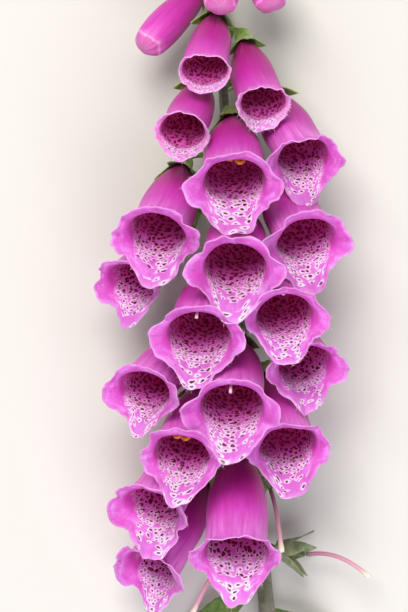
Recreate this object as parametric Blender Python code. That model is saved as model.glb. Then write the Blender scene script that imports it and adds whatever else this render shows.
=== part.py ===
"""A cut foxglove flower spike, lying on its back on a flat surface.

The stem runs along +Y from its cut end to the tip of the spike, and the bells rise from it towards +Z.
Every flower is a bell (the corolla) seated in a green calyx on a short stalk. Older flowers have dropped
their bells and keep the calyx with its seed pod and style. Above the open flowers the buds get smaller
and greener towards the tip. Sizes are in millimetres until the skin function turns them to metres.
"""

import math

import bmesh
import bpy
from mathutils import Vector

MM = 0.001

# The stem: (height from the cut end, sideways, above the surface), in mm.
STEM_ROUTE = [(0, 15.2, 3.4), (45, 10.0, 6.4), (100, 4.6, 9.6), (160, -0.6, 10.6),
              (225, -5.2, 10.2), (285, -8.8, 8.0), (330, -10.8, 4.9)]
STEM_CUT_RADIUS = 3.2
STEM_TIP_RADIUS = 1.0
STEM_SIDES = 10
STEM_RINGS = 22

# The bell: its wall, how flat its tube is, and the girth along the tube as (share of length, share of girth).
WALL = 0.8
TUBE_HEIGHT_SHARE = 0.84
TUBE_GIRTH = [(0.0, 0.24), (0.10, 0.30), (0.20, 0.52), (0.32, 0.76), (0.45, 0.92), (0.62, 1.0), (1.0, 1.0)]
BELL_RINGS = [0.0, 0.11, 0.24, 0.42, 0.72, 1.0]
LOBE_RINGS = [0.5, 1.0]
BELL_SIDES = 12

# The five lobes of the mouth: (middle in degrees from the lower lip, half width in degrees, reach in mm).
LOBES = [(0, 46, 13.0), (80, 38, 8.2), (-80, 38, 8.2), (150, 44, 3.0), (-150, 44, 3.0)]
LOBE_RIM = 1.4
FLARE_LOWER, FLARE_SIDE, FLARE_UPPER = 22, 74, 40

# The calyx: a cup round the base of the bell with five sepals, and the gap that keeps it clear.
CUP_SIDES = 10
CUP_WALL = 0.6
STALK_RADIUS = 1.1
GAP = 0.3
FOOT_GAP = 1.0

# The open flowers, from the lowest up. Each says where the bell's base is: its height up the stem, how far
# to the side of the stem and how far above it; then how the bell points: its turn from straight down the
# stem (+ to the right) and its nod from straight up, in degrees; then its length, girth and lobe size.
OPEN_FLOWERS = [
    # height  side  above  turn  nod  length  girth  lobes
    (105.9, -4.3, 12.0, -2, 50, 44.0, 21.4, 1.00),
    (96.5, -15.7, -2.0, -31, 60, 43.0, 20.0, 0.95),
    (113.9, -15.5, 4.0, -32, 50, 43.0, 20.0, 0.95),
    (127.8, -13.5, 9.0, -20, 35, 43.0, 20.0, 0.95),
    (131.6, 8.2, 1.0, 14, 36, 43.0, 20.0, 0.95),
    (144.7, -2.0, 13.0, -4, 33, 44.0, 21.4, 1.00),
    (146.4, -17.0, 5.0, -38, 38, 42.0, 19.4, 0.80),
    (158.6, 9.8, 0.0, 28, 40, 42.0, 19.4, 0.85),
    (167.2, -7.9, 12.0, -13, 32, 43.0, 21.4, 1.00),
    (172.6, 10.4, 9.0, 16, 32, 42.0, 20.0, 0.95),
    (187.4, -13.9, -1.6, -40, 50, 42.0, 18.6, 0.80),
    (190.2, 2.1, 13.0, -3, 31, 43.0, 21.4, 1.00),
    (201.2, 15.6, 6.0, 23, 38, 42.0, 20.4, 0.95),
    (204.2, -15.8, 6.0, -19, 39, 42.0, 20.4, 1.00),
    (220.6, 2.0, 14.0, 2, 35, 42.0, 21.2, 1.00),
    (231.0, 16.1, 6.0, 23, 44, 40.0, 19.2, 0.85),
    (234.0, -7.1, 10.0, -18, 35, 36.0, 16.0, 0.55),
    (248.4, 8.0, 11.0, 14, 43, 37.0, 16.0, 0.55),
    (257.2, -0.8, 14.0, -11, 40, 35.0, 15.4, 0.40),
]

# The coloured buds, still closed: height, side, above, turn, nod, length, girth.
COLOURED_BUDS = [
    (270.0, -1.8, 3.8, -42, 66, 40.0, 13.0),
    (273.0, 2.5, 17.0, -4, 40, 27.0, 12.4),
    (276.0, 14.4, 10.0, 16, 52, 25.0, 12.4),
    (288.0, -6.0, 9.0, -20, 48, 21.0, 9.6),
    (292.0, 6.5, 8.0, 22, 50, 19.0, 9.0),
]

# The green buds, each still shut in its calyx: height, side, above, turn, nod, length, girth.
GREEN_BUDS = [
    (296.0, -8.0, -2.9, -52, 96, 14.0, 8.0),
    (299.0, 7.0, -2.9, 52, 96, 13.0, 7.6),
    (305.0, -2.5, 7.0, -16, 46, 13.0, 7.2),
    (309.0, 4.0, 5.0, 30, 54, 11.0, 6.4),
]

# The spent flowers, bell dropped: height, side, above, turn, nod, and the style's length, turn and nod at its end.
SPENT_FLOWERS = [
    (97.0, 4.5, 4.0, 12, 62, 24.0, 8, 66),
    (68.0, 7.5, 3.0, 80, 76, 25.0, 62, 92),
    (72.0, -8.0, 4.0, -30, 68, 24.0, -34, 80),
    (82.0, 0.0, 9.0, -46, 76, 20.0, -50, 80),
]

# The leaves low on the stem: height, turn from straight up the stem, length, width.
LEAVES = [(58.0, -128, 34.0, 11.0), (48.0, 118, 34.0, 11.0)]

TIP_LENGTH, TIP_GIRTH = 22.0, 11.0

PETAL, PETAL_BUD, SEPAL = (0.62, 0.10, 0.50, 1), (0.60, 0.12, 0.42, 1), (0.16, 0.30, 0.06, 1)
STALK_GREEN, STYLE_PINK = (0.22, 0.32, 0.12, 1), (0.80, 0.48, 0.55, 1)


def clear_scene():
    for thing in list(bpy.data.objects):
        bpy.data.objects.remove(thing)


def material(name, colour, roughness):
    made = bpy.data.materials.get(name)
    if made is None:
        made = bpy.data.materials.new(name)
        made.use_nodes = True
        shader = made.node_tree.nodes["Principled BSDF"]
        shader.inputs["Base Color"].default_value = colour
        shader.inputs["Roughness"].default_value = roughness
    return made


def smooth(share):
    """Eases a share from 0 to 1 with no slope at either end."""
    share = min(1.0, max(0.0, share))
    return share * share * (3 - 2 * share)


def read_curve(points, at):
    """The value at a place along a list of (place, value) points, in a straight line between them."""
    for (low, first), (high, last) in zip(points, points[1:]):
        if at <= high:
            return first + (last - first) * (at - low) / (high - low)
    return points[-1][1]


def direction(turn, nod):
    """A unit vector: turn degrees from straight down the stem, seen from above, and nod degrees from straight up."""
    turn, nod = math.radians(turn), math.radians(nod)
    return Vector((math.sin(turn) * math.sin(nod), -math.cos(turn) * math.sin(nod), math.cos(nod)))


def skin(name, rings, colour, roughness):
    """One closed body: the first ring is grown into the rest by extrusion, and both ends are filled."""
    mesh = bpy.data.meshes.new(name)
    body = bmesh.new()
    edge = [body.verts.new(point * MM) for point in rings[0]]
    loop = [body.edges.new((a, b)) for a, b in zip(edge, edge[1:] + edge[:1])]
    bmesh.ops.edgeloop_fill(body, edges=loop)
    for ring in rings[1:]:
        grown = bmesh.ops.extrude_edge_only(body, edges=loop)["geom"]
        step = {old: new for old, new in zip(edge, ring_of(grown, edge))}
        edge = [step[old] for old in edge]
        for vert, point in zip(edge, ring):
            vert.co = point * MM
        loop = [body.edges.get((a, b)) for a, b in zip(edge, edge[1:] + edge[:1])]
    bmesh.ops.edgeloop_fill(body, edges=loop)
    bmesh.ops.recalc_face_normals(body, faces=body.faces)
    body.to_mesh(mesh)
    body.free()
    mesh.materials.append(material(name.rstrip("0123456789_"), colour, roughness))
    mesh.shade_smooth()
    made = bpy.data.objects.new(name, mesh)
    bpy.context.scene.collection.objects.link(made)
    return made


def ring_of(grown, edge):
    """The new vertex that extrusion made from each vertex of the old edge."""
    fresh = {item for item in grown if isinstance(item, bmesh.types.BMVert)}
    return [next(e.other_vert(old) for e in old.link_edges if e.other_vert(old) in fresh) for old in edge]


def round_ring(centre, across, up, width, height, sides):
    """Points round an ellipse, from its lowest point (against up) and towards across."""
    turns = [math.tau * step / sides for step in range(sides)]
    return [centre - up * height * math.cos(turn) + across * width * math.sin(turn) for turn in turns]


def stem_at(height):
    """The stem's centre at a height up the spike, read from its route as a smooth curve."""
    return Vector((
        smooth_read([(h, x) for h, x, _ in STEM_ROUTE], height),
        height,
        smooth_read([(h, z) for h, _, z in STEM_ROUTE], height),
    ))


def smooth_read(points, at):
    """A Catmull-Rom reading of a list of (place, value) points."""
    last = len(points) - 2
    index = max(0, min(last, sum(at > place for place, _ in points[1:])))
    (low, first), (high, second) = points[index], points[index + 1]
    before = points[max(0, index - 1)]
    after = points[min(len(points) - 1, index + 2)]
    span = high - low
    slope_in = (second - before[1]) / (high - before[0]) * span
    slope_out = (after[1] - first) / (after[0] - low) * span
    t = (at - low) / span
    return ((2 * t**3 - 3 * t**2 + 1) * first + (t**3 - 2 * t**2 + t) * slope_in
            + (3 * t**2 - 2 * t**3) * second + (t**3 - t**2) * slope_out)


def stem_radius(height):
    return STEM_CUT_RADIUS + (STEM_TIP_RADIUS - STEM_CUT_RADIUS) * height / STEM_ROUTE[-1][0]


# On the standing spike every lower lip hangs towards the ground, which is the way to the cut end.
HANG = Vector((0, -1, 0))


class Pose:
    """Where a flower's base is and how it points: along its axis, under it (the lower lip's side) and across."""

    def __init__(self, height, side, above, turn, nod):
        self.base = stem_at(height) + Vector((side, 0, above))
        self.axis = direction(turn, nod)
        self.under = (HANG - self.axis * HANG.dot(self.axis)).normalized()
        self.across = self.under.cross(self.axis)
        self.height = height

    def ring(self, along, width, height, sides, drop=0.0):
        centre = self.base + self.axis * along + self.under * drop
        return round_ring(centre, self.across, -self.under, width, height, sides)


def lobe_reach(angle, size):
    """How far the mouth's edge reaches past the tube at an angle from the lower lip."""
    bumps = []
    for middle, half, reach in LOBES:
        off = abs((angle - middle + 180) % 360 - 180) / half
        bumps.append(reach * math.cos(min(1.0, off) * math.pi / 2) ** 0.8 if off < 1 else 0.0)
    return (LOBE_RIM + max(bumps)) * size


def lobe_flare(angle):
    """How far the mouth's edge turns outwards, in radians."""
    off = abs((angle + 180) % 360 - 180)
    if off < 80:
        return math.radians(FLARE_LOWER + (FLARE_SIDE - FLARE_LOWER) * smooth(off / 80))
    return math.radians(FLARE_SIDE + (FLARE_UPPER - FLARE_SIDE) * smooth((off - 80) / 80))


def bell(name, pose, length, girth, lobes):
    """The corolla: a closed base, a swelling tube and a five-lobed mouth, with a wall all the way in."""
    outer, inner = [], []
    for share in BELL_RINGS:
        width = girth / 2 * read_curve(TUBE_GIRTH, share)
        height = width * (1 + (TUBE_HEIGHT_SHARE - 1) * smooth(share / 0.4))
        outer.append(pose.ring(share * length, width, height, BELL_SIDES))
        if share > 0:
            inner.append(pose.ring(share * length, width - WALL, height - WALL, BELL_SIDES))
    for share in LOBE_RINGS:
        outer.append(lobe_ring(pose, length, girth, lobes, share, 0.0))
        inner.append(lobe_ring(pose, length, girth, lobes, share, WALL))
    skin(name, outer + inner[::-1], PETAL, 0.5)


def lobe_ring(pose, length, girth, lobes, share, inset):
    """A ring of the mouth, where each point has run an arc that turns outwards by the flare."""
    points = []
    for step in range(BELL_SIDES):
        angle = 360 * step / BELL_SIDES
        turn, reach = lobe_flare(angle) * share, lobe_reach(angle, lobes) * share
        forward = reach * math.sin(turn) / turn + inset * math.sin(turn)
        outward = reach * (1 - math.cos(turn)) / turn - inset * math.cos(turn)
        tall = girth / 2 * TUBE_HEIGHT_SHARE + outward
        wide = girth / 2 + outward
        centre = pose.base + pose.axis * (length + forward)
        points.append(centre + pose.under * tall * math.cos(math.radians(angle))
                      + pose.across * wide * math.sin(math.radians(angle)))
    return points


def stalk_rings(pose, end, radius, sides):
    """Rings along the flower's stalk, from the stem's side to the point where the calyx begins."""
    foot_height = pose.height + 1.5
    centre = stem_at(foot_height)
    away = (end - centre)
    away.y = 0
    away.normalize()
    foot = centre + away * (stem_radius(foot_height) + FOOT_GAP)
    reach = (end - foot).length
    first, second = foot + away * reach * 0.35 + Vector((0, reach * 0.25, 0)), end - pose.axis * reach * 0.3
    rings = []
    for share in (0.0, 0.3, 0.62, 1.0):
        rest = 1 - share
        point = (foot * rest**3 + first * 3 * rest**2 * share + second * 3 * rest * share**2 + end * share**3)
        along = ((first - foot) * rest**2 + (second - first) * 2 * rest * share + (end - second) * share**2)
        along.normalize()
        across = pose.under.cross(along).normalized()
        rings.append(round_ring(point, across, -along.cross(across), radius, radius, sides))
    return rings


def calyx(name, pose, size=1.0, spread=1.0):
    """The stalk, and the cup with its five sepals round the bell's base. Its inside follows its outside."""
    def star(along_notch, along_tip, notch, tip, inset):
        points = []
        for step in range(CUP_SIDES):
            is_tip = step % 2 == 1
            along = (along_tip if is_tip else along_notch) * size
            radius = (tip * spread if is_tip else notch) * size - inset
            turn = math.tau * step / CUP_SIDES
            points.append(pose.base + pose.axis * along + pose.under * radius * math.cos(turn)
                          + pose.across * radius * math.sin(turn))
        return points

    cup_bottom = pose.base - pose.axis * 2.4 * size
    rings = stalk_rings(pose, cup_bottom, STALK_RADIUS * size, CUP_SIDES)
    rings.append(pose.ring(-1.0 * size, 3.6 * size, 3.6 * size, CUP_SIDES))
    rings.append(star(3.0, 4.0, 5.2, 5.6, 0.0))
    rings.append(star(4.6, 10.5, 5.6, 8.2, 0.0))
    rings.append(star(4.2, 10.0, 5.6, 8.2, CUP_WALL))
    rings.append(star(2.8, 3.8, 5.2, 5.6, CUP_WALL))
    rings.append(pose.ring(-0.4 * size, 3.2 * size, 3.2 * size, CUP_SIDES))
    skin(name, rings, SEPAL, 0.6)


def coloured_bud(name, pose, length, girth):
    """A closed bell: the tube swells and its folded lobes shut the end."""
    profile = [(0.0, 0.24), (0.12, 0.40), (0.3, 0.74), (0.55, 0.98), (0.8, 1.0), (0.94, 0.78), (1.0, 0.36)]
    rings = [pose.ring(share * length, girth / 2 * wide, girth / 2 * wide * 0.92, CUP_SIDES)
             for share, wide in profile]
    skin(name, rings, PETAL_BUD, 0.5)


def green_bud(name, pose, length, girth):
    """A young bud shut in its sepals, on its stalk."""
    profile = [(0.06, 0.72), (0.3, 1.0), (0.6, 0.9), (0.85, 0.55), (1.0, 0.16)]
    rings = stalk_rings(pose, pose.base - pose.axis, STALK_RADIUS * 0.8, 8)
    rings += [pose.ring(share * length, girth / 2 * wide, girth / 2 * wide, 8) for share, wide in profile]
    skin(name, rings, SEPAL, 0.6)


def spent_flower(name, pose, style_length, end_turn, end_nod):
    """A seed pod in its open calyx, with the long style that stays when the bell has dropped."""
    pod = [(-1.5, 3.0), (0.8, 4.4), (3.5, 4.2), (6.5, 2.6), (8.5, 0.9)]
    rings = stalk_rings(pose, pose.base - pose.axis * 3, STALK_RADIUS, 8)
    rings += [pose.ring(along, radius, radius, 8) for along, radius in pod]
    foot = pose.base + pose.axis * 8.5
    end_axis = direction(end_turn, end_nod)
    for share in (0.35, 0.7, 1.0):
        axis = (pose.axis * (1 - share) + end_axis * share).normalized()
        point = foot + (pose.axis * (1 - share / 2) + end_axis * share / 2) * style_length * share
        across = pose.under.cross(axis).normalized()
        radius = 0.55 if share < 1 else 1.0
        rings.append(round_ring(point, across, -axis.cross(across), radius, radius, 8))
    skin(name, rings, STYLE_PINK, 0.6)


def leaf(name, height, turn, length, width):
    """A narrow stem leaf, thick enough to be solid, that bows from the stem down to the surface."""
    root = stem_at(height)
    way = Vector((math.sin(math.radians(turn)), math.cos(math.radians(turn)), 0))
    across = Vector((way.y, -way.x, 0))
    start = stem_radius(height) + FOOT_GAP
    thick = 0.5
    rings = []
    for share, wide in [(0.0, 0.16), (0.2, 0.5), (0.45, 1.0), (0.75, 0.78), (1.0, 0.1)]:
        drop = (root.z - thick) * smooth(share / 0.9) - 3.0 * math.sin(math.pi * share)
        centre = root + way * (start + length * share) - Vector((0, 0, drop))
        rings.append(round_ring(centre, across, Vector((0, 0, 1)), width / 2 * wide, thick, 6))
    skin(name, rings, SEPAL, 0.6)


def stem():
    rings = []
    for step in range(STEM_RINGS):
        height = STEM_ROUTE[-1][0] * step / (STEM_RINGS - 1)
        radius = stem_radius(height)
        rings.append(round_ring(stem_at(height), Vector((1, 0, 0)), Vector((0, 0, 1)), radius, radius, STEM_SIDES))
    skin("stem", rings, STALK_GREEN, 0.6)


def tip():
    """The crowded young buds at the very top of the spike, as one tapering body round the stem's end."""
    start = stem_at(STEM_ROUTE[-1][0]) + Vector((0, GAP, 0))
    rings = []
    for share, wide in [(0.0, 0.5), (0.15, 0.95), (0.4, 1.0), (0.7, 0.62), (1.0, 0.14)]:
        centre = start + Vector((-1.0 * share, TIP_LENGTH * share, 1.6 * share))
        girth = TIP_GIRTH / 2 * wide
        rings.append(round_ring(centre, Vector((1, 0, 0)), Vector((0, 0, 1)), girth, girth, 8))
    skin("tip_buds", rings, SEPAL, 0.6)


def set_down():
    """Moves the whole spike so that it rests on the surface with its box centred on the origin."""
    corners = [v.co for thing in bpy.data.objects for v in thing.data.vertices]
    low = [min(c[axis] for c in corners) for axis in range(3)]
    high = [max(c[axis] for c in corners) for axis in range(3)]
    shift = Vector(((low[0] + high[0]) / 2, (low[1] + high[1]) / 2, low[2]))
    for thing in bpy.data.objects:
        for vert in thing.data.vertices:
            vert.co -= shift


def main():
    clear_scene()
    stem()
    tip()
    for number, (height, side, above, turn, nod, length, girth, lobes) in enumerate(OPEN_FLOWERS, 1):
        pose = Pose(height, side, above, turn, nod)
        bell(f"corolla_{number:02d}", pose, length, girth, lobes)
        calyx(f"calyx_{number:02d}", pose)
    for number, (height, side, above, turn, nod, length, girth) in enumerate(COLOURED_BUDS, 1):
        pose = Pose(height, side, above, turn, nod)
        coloured_bud(f"bud_{number}", pose, length, girth)
        calyx(f"bud_calyx_{number}", pose, girth / 15)
    for number, (height, side, above, turn, nod, length, girth) in enumerate(GREEN_BUDS, 1):
        green_bud(f"green_bud_{number}", Pose(height, side, above, turn, nod), length, girth)
    for number, (height, side, above, turn, nod, style, end_turn, end_nod) in enumerate(SPENT_FLOWERS, 1):
        spent_flower(f"spent_flower_{number}", Pose(height, side, above, turn, nod), style, end_turn, end_nod)
    for number, (height, turn, length, width) in enumerate(LEAVES, 1):
        leaf(f"leaf_{number}", height, turn, length, width)
    set_down()


main()
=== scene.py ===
"""A cut foxglove spike lying on its back: its bells, sepals, stamens, buds, spent flowers, leaves and hairs.

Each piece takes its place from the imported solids: the calyx says where a bell's base is and which way it
points, and the bell's own solid says how long and wide it is. Lengths are metres, written as counts of MM.
"""
import math
import random

import bpy
import numpy as np
from mathutils import Matrix, Vector, noise


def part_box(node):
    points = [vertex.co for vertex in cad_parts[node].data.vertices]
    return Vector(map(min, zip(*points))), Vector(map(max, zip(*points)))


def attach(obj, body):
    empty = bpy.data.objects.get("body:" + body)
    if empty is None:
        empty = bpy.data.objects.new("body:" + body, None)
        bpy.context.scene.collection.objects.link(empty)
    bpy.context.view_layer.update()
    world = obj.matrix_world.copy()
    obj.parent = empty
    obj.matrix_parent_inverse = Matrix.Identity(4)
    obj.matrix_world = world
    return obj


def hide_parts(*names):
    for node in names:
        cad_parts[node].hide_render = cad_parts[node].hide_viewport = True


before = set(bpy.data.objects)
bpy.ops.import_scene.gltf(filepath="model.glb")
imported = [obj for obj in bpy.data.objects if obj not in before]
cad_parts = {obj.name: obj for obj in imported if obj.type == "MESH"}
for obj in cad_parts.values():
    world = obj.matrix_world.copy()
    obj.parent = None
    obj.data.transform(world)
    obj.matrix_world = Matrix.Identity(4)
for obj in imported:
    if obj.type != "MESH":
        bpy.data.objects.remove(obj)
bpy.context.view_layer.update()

# Vector noise takes its offsets from this seed, so every run gives the same petals.
noise.seed_set(3)

MM = 0.001
# How near a face's plane a corner counts as on it, and how high the lowest petals stay off the floor.
FLAT = 0.005 * MM
LOWEST = 0.05 * MM

OPEN_BELLS = 19
COLOURED_BUDS = 5
GREEN_BUDS = 4
SPENT_FLOWERS = 4
LEAVES = 2
TIP_BUDS = 22
LIP_HAIRS = 150
STEM_HAIRS = 2600
STEM_RINGS = 90

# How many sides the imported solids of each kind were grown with.
CALYX_SIDES = 10
BELL_SIDES = 12
SMALL_SIDES = 8
LEAF_SIDES = 6

# The bell: columns round it, rows up its tube and out along its lobes, where its mouth is on the petal map,
# how thick the petal is, how flat the tube is, how far it sags in the middle, and its girth along it.
COLUMNS = 64
TUBE_ROWS = 21
LOBE_ROWS = 9
ROWS = TUBE_ROWS + LOBE_ROWS
MOUTH = TUBE_ROWS / ROWS
PETAL = 0.42 * MM
TUBE_FLATNESS = 0.84
BELLY = 0.9 * MM
TUBE_GIRTH = [(0.0, 0.25), (0.10, 0.30), (0.20, 0.50), (0.32, 0.74), (0.45, 0.90), (0.62, 0.985), (0.82, 1.0),
              (1.0, 1.03)]

# The mouth's five lobes: how far the petal runs past the tube at each angle from the lower lip's middle, as a
# share of the lower lip. The bells that have only just opened have shorter lobes.
LOBE_REACH = [(0, 1.09), (9, 1.11), (17, 1.04), (24, 0.88), (33, 0.70), (42, 0.555), (50, 0.47), (58, 0.46),
              (68, 0.53), (80, 0.59), (92, 0.57), (104, 0.48), (114, 0.34), (121, 0.27), (131, 0.335),
              (148, 0.37), (164, 0.36), (180, 0.30)]
YOUNG = {17, 18, 19}
YOUNG_REACH = [(0, 0.66), (25, 0.64), (50, 0.52), (75, 0.44), (105, 0.40), (128, 0.34), (150, 0.37),
               (180, 0.34)]
YOUNG_MOUTH = 0.57
# How bells differ, by number: a longer or shorter lower lip, a narrower one, and how far side lobes spread.
LOWER_LIP = {2: 0.95, 3: 0.96, 6: 0.95, 9: 0.96, 10: 0.88, 11: 0.97, 17: 1.25, 18: 1.15, 19: 1.2}
LIP_NARROWING = {2: 1.3, 4: 1.2, 7: 1.4, 11: 1.35, 16: 1.15}
SIDE_SPREAD = {1: 0.74, 4: 0.70, 5: 0.76, 10: 0.84, 14: 0.9, 17: 0.8, 18: 0.8, 19: 0.7}
# In degrees: the lower lip's half width, the middle of a side lobe, how far the petal has turned out at its
# edge at each angle, how far the upper lobes roll back, and how far the lower lip curls.
LIP_HALF = 60
SIDE_MIDDLE = 88
FLARE = [(0, 14), (28, 22), (58, 50), (92, 82), (122, 74)]
UPPER_ROLL = {1: 42, 5: 64, 8: 70, 16: 52, 17: 26, 18: 26, 19: 22}
UPPER_ROLL_USUAL = 82
LIP_CURL = 16
# The lip of a bell that is fully open.
OPEN_LIP = 12.5 * MM

# How far along the tube the front anthers and the style's end stand, where they are not the usual.
FRONT_ANTHERS = {4: 0.95, 12: 0.80, 15: 0.88}
FRONT_ANTHERS_USUAL = 0.77
STYLE_END = {6: 0.99, 9: 0.96}
STYLE_END_USUAL = 0.82

# The calyx: five sepals round a small cup. A sepal's grid is SEPAL_ACROSS by SEPAL_ALONG.
SEPAL_ACROSS, SEPAL_ALONG = 6, 9
SEPAL_LENGTH = 13 * MM
SEPAL_HALF_WIDTH = 3.4 * MM
SEPAL_THICK = 0.45 * MM
STALK_RADIUS = 1.1 * MM

# Outlines, as (share along, share of the greatest width or girth).
SEPAL_WIDTH = [(0.0, 0.62), (0.2, 0.92), (0.42, 1.0), (0.65, 0.82), (0.85, 0.44), (1.0, 0.06)]
LEAF_WIDTH = [(0.0, 0.14), (0.12, 0.34), (0.3, 0.78), (0.5, 1.0), (0.72, 0.82), (0.9, 0.42), (1.0, 0.04)]
BUD_GIRTH = [(0.0, 0.26), (0.12, 0.44), (0.3, 0.76), (0.55, 0.98), (0.78, 1.0), (0.92, 0.84), (0.98, 0.58),
             (1.0, 0.3)]
GREEN_GIRTH = [(0.0, 0.5), (0.2, 0.86), (0.45, 1.0), (0.7, 0.84), (0.9, 0.5), (1.0, 0.2)]
TIP_GIRTH = [(0.0, 0.45), (0.3, 0.95), (0.6, 0.9), (1.0, 0.15)]
POD_GIRTH = [(0.0, 0.8), (0.25, 1.0), (0.5, 0.92), (0.8, 0.5), (1.0, 0.16)]

# The turn from one young bud to the next round the stem, which never lines two up.
GOLDEN_TURN = 2.39996


def srgb(code):
    """A #RRGGBB colour as the linear RGBA that shaders take."""
    parts = [int(code[i:i + 2], 16) / 255 for i in (1, 3, 5)]
    return tuple(c / 12.92 if c <= 0.04045 else ((c + 0.055) / 1.055) ** 2.4 for c in parts) + (1.0,)


# ---------------------------------------------------------------- reading the frame


def rings_of(node, size):
    """The rings a CAD solid was grown in, from the end nearest the stem. Its flat end has size corners."""
    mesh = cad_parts[node].data
    spots = {}
    corner = [spots.setdefault(tuple(round(c, 7) for c in v.co), len(spots)) for v in mesh.vertices]
    points = [Vector(spot) for spot in spots]
    joined = {index: set() for index in range(len(points))}
    for face in mesh.polygons:
        for a, b in face.edge_keys:
            joined[corner[a]].add(corner[b])
            joined[corner[b]].add(corner[a])
    ends = set()
    for face in mesh.polygons:
        level = [i for i, p in enumerate(points) if abs((p - face.center).dot(face.normal)) < FLAT]
        if len(level) == size:
            ends.add(frozenset(level))
    ring = min((sorted(end) for end in ends), key=lambda end: from_stem([points[i] for i in end]))
    rings, seen = [], set()
    while ring:
        rings.append([points[index] for index in sorted(ring)])
        seen |= set(ring)
        ring = {other for index in ring for other in joined[index]} - seen
    return rings if from_stem(rings[0]) < from_stem(rings[-1]) else rings[::-1]


def middle(points):
    return sum(points, Vector()) / len(points)


def read_stem():
    """The stem's centre line, from its cut end to its tip, and its radius along it."""
    rings = {}
    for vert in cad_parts["stem"].data.vertices:
        rings.setdefault(round(vert.co.y, 5), []).append(vert.co.copy())
    centres = [middle(rings[y]) for y in sorted(rings)]
    radii = [max((p - middle(rings[y])).length for p in rings[y]) for y in sorted(rings)]
    return centres, radii


STEM_LINE, STEM_RADII = read_stem()


def stem_near(point):
    """The point of the stem's centre line level with a point, and the stem's radius there."""
    ys = [p.y for p in STEM_LINE]
    x = float(np.interp(point.y, ys, [p.x for p in STEM_LINE]))
    z = float(np.interp(point.y, ys, [p.z for p in STEM_LINE]))
    return Vector((x, point.y, z)), float(np.interp(point.y, ys, STEM_RADII))


def from_stem(points):
    """How far the middle of some points is from the stem's centre line."""
    centre = middle(points)
    return (stem_near(centre)[0] - centre).length


class Bloom:
    """A flower's place: its base, its axis, under it (the lower lip's side) and across it."""

    def __init__(self, base, axis, under=Vector((0, 0, -1))):
        self.base, self.axis = base, axis.normalized()
        self.under = (under - self.axis * under.dot(self.axis)).normalized()
        self.across = self.under.cross(self.axis)

    def place(self, side, low, along):
        """A point given sideways, towards the lower lip and along the axis."""
        return self.base + self.across * side + self.under * low + self.axis * along


def bloom_on(stalked, body):
    """The place of a flower or bud that stands in a calyx, and how far its body reaches."""
    rings = [middle(ring) for ring in rings_of(stalked, CALYX_SIDES)]
    # The first four rings are the stalk's. The cup's first is 1.4 parts on, and the base 1 part past that.
    axis = (rings[4] - rings[3]).normalized()
    base = rings[4] + (rings[4] - rings[3]) / 1.4
    points = [v.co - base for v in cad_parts[body].data.vertices]
    tip = max(points, key=lambda p: p.dot(axis))
    bloom = Bloom(base, axis, tip) if body.startswith("corolla") else Bloom(base, axis)
    bloom.stalk, bloom.points, bloom.reach = rings[:4], points, tip.dot(axis)
    return bloom


def read_bell(number):
    """An open flower's place and sizes: its tube's length and girth, and its lip's reach past the tube."""
    node = f"corolla_{number:02d}"
    bloom = bloom_on(f"calyx_{number:02d}", node)
    tube_end = rings_of(node, BELL_SIDES)[5]
    bloom.length = (middle(tube_end) - bloom.base).dot(bloom.axis)
    bloom.girth = 2 * max(abs((p - bloom.base).dot(bloom.across)) for p in tube_end)
    bloom.lip = bloom.reach - bloom.length
    return bloom


def read_bud(number):
    """A coloured bud's place, length and girth."""
    bloom = bloom_on(f"bud_calyx_{number}", f"bud_{number}")
    bloom.length = bloom.reach
    bloom.girth = 2 * max((p - bloom.axis * p.dot(bloom.axis)).length for p in bloom.points)
    return bloom


# ---------------------------------------------------------------- making meshes


def deselect():
    if bpy.context.object and bpy.context.object.mode != "OBJECT":
        bpy.ops.object.mode_set(mode="OBJECT")
    bpy.ops.object.select_all(action="DESELECT")


def activate(piece):
    deselect()
    piece.select_set(True)
    bpy.context.view_layer.objects.active = piece


def finish(piece, thickness=0.0, levels=1, offset=-1.0, inner_slot=0):
    """Gives a piece its wall and its smooth skin, and applies both."""
    activate(piece)
    if thickness:
        wall = piece.modifiers.new("wall", "SOLIDIFY")
        wall.thickness = thickness
        wall.offset = offset
        wall.material_offset = inner_slot
        wall.material_offset_rim = 0
        bpy.ops.object.modifier_apply(modifier=wall.name)
    if levels:
        skin = piece.modifiers.new("skin", "SUBSURF")
        skin.levels = skin.render_levels = levels
        bpy.ops.object.modifier_apply(modifier=skin.name)
    bpy.ops.object.shade_smooth()


def copy_of(template, name):
    piece = template.copy()
    piece.data = template.data.copy()
    piece.name = piece.data.name = name
    bpy.context.scene.collection.objects.link(piece)
    return piece


def dress(piece, slot, materials, *nodes):
    """Hangs a finished piece on the spike, pressed flat where it meets the floor, with its materials."""
    for vert in piece.data.vertices:
        vert.co.z = max(vert.co.z, LOWEST)
    if materials:
        piece.data.materials.clear()
        for material in materials:
            piece.data.materials.append(material)
    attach(piece, "root")
    if nodes:
        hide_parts(*nodes)


def spline(points, at):
    """A smooth reading of a list of (place, value) points."""
    index = max(0, min(len(points) - 2, sum(at > place for place, _ in points[1:])))
    (low, first), (high, second) = points[index], points[index + 1]
    before, after = points[max(0, index - 1)], points[min(len(points) - 1, index + 2)]
    span = high - low
    slope_in = (second - before[1]) / (high - before[0]) * span
    slope_out = (after[1] - first) / (after[0] - low) * span
    t = (at - low) / span
    return ((2 * t**3 - 3 * t**2 + 1) * first + (t**3 - 2 * t**2 + t) * slope_in
            + (3 * t**2 - 2 * t**3) * second + (t**3 - t**2) * slope_out)


def girth_along(girth, length, outline):
    """A function that gives a body's radius at a distance along it."""
    return lambda out: girth / 2 * spline(outline, min(1.0, max(0.0, out / length)))


def bezier(ends, shares):
    """Points along a cubic curve through its four control points."""
    a, b, c, d = ends
    return [a * (1 - t)**3 + b * 3 * t * (1 - t)**2 + c * 3 * t**2 * (1 - t) + d * t**3 for t in shares]


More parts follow.
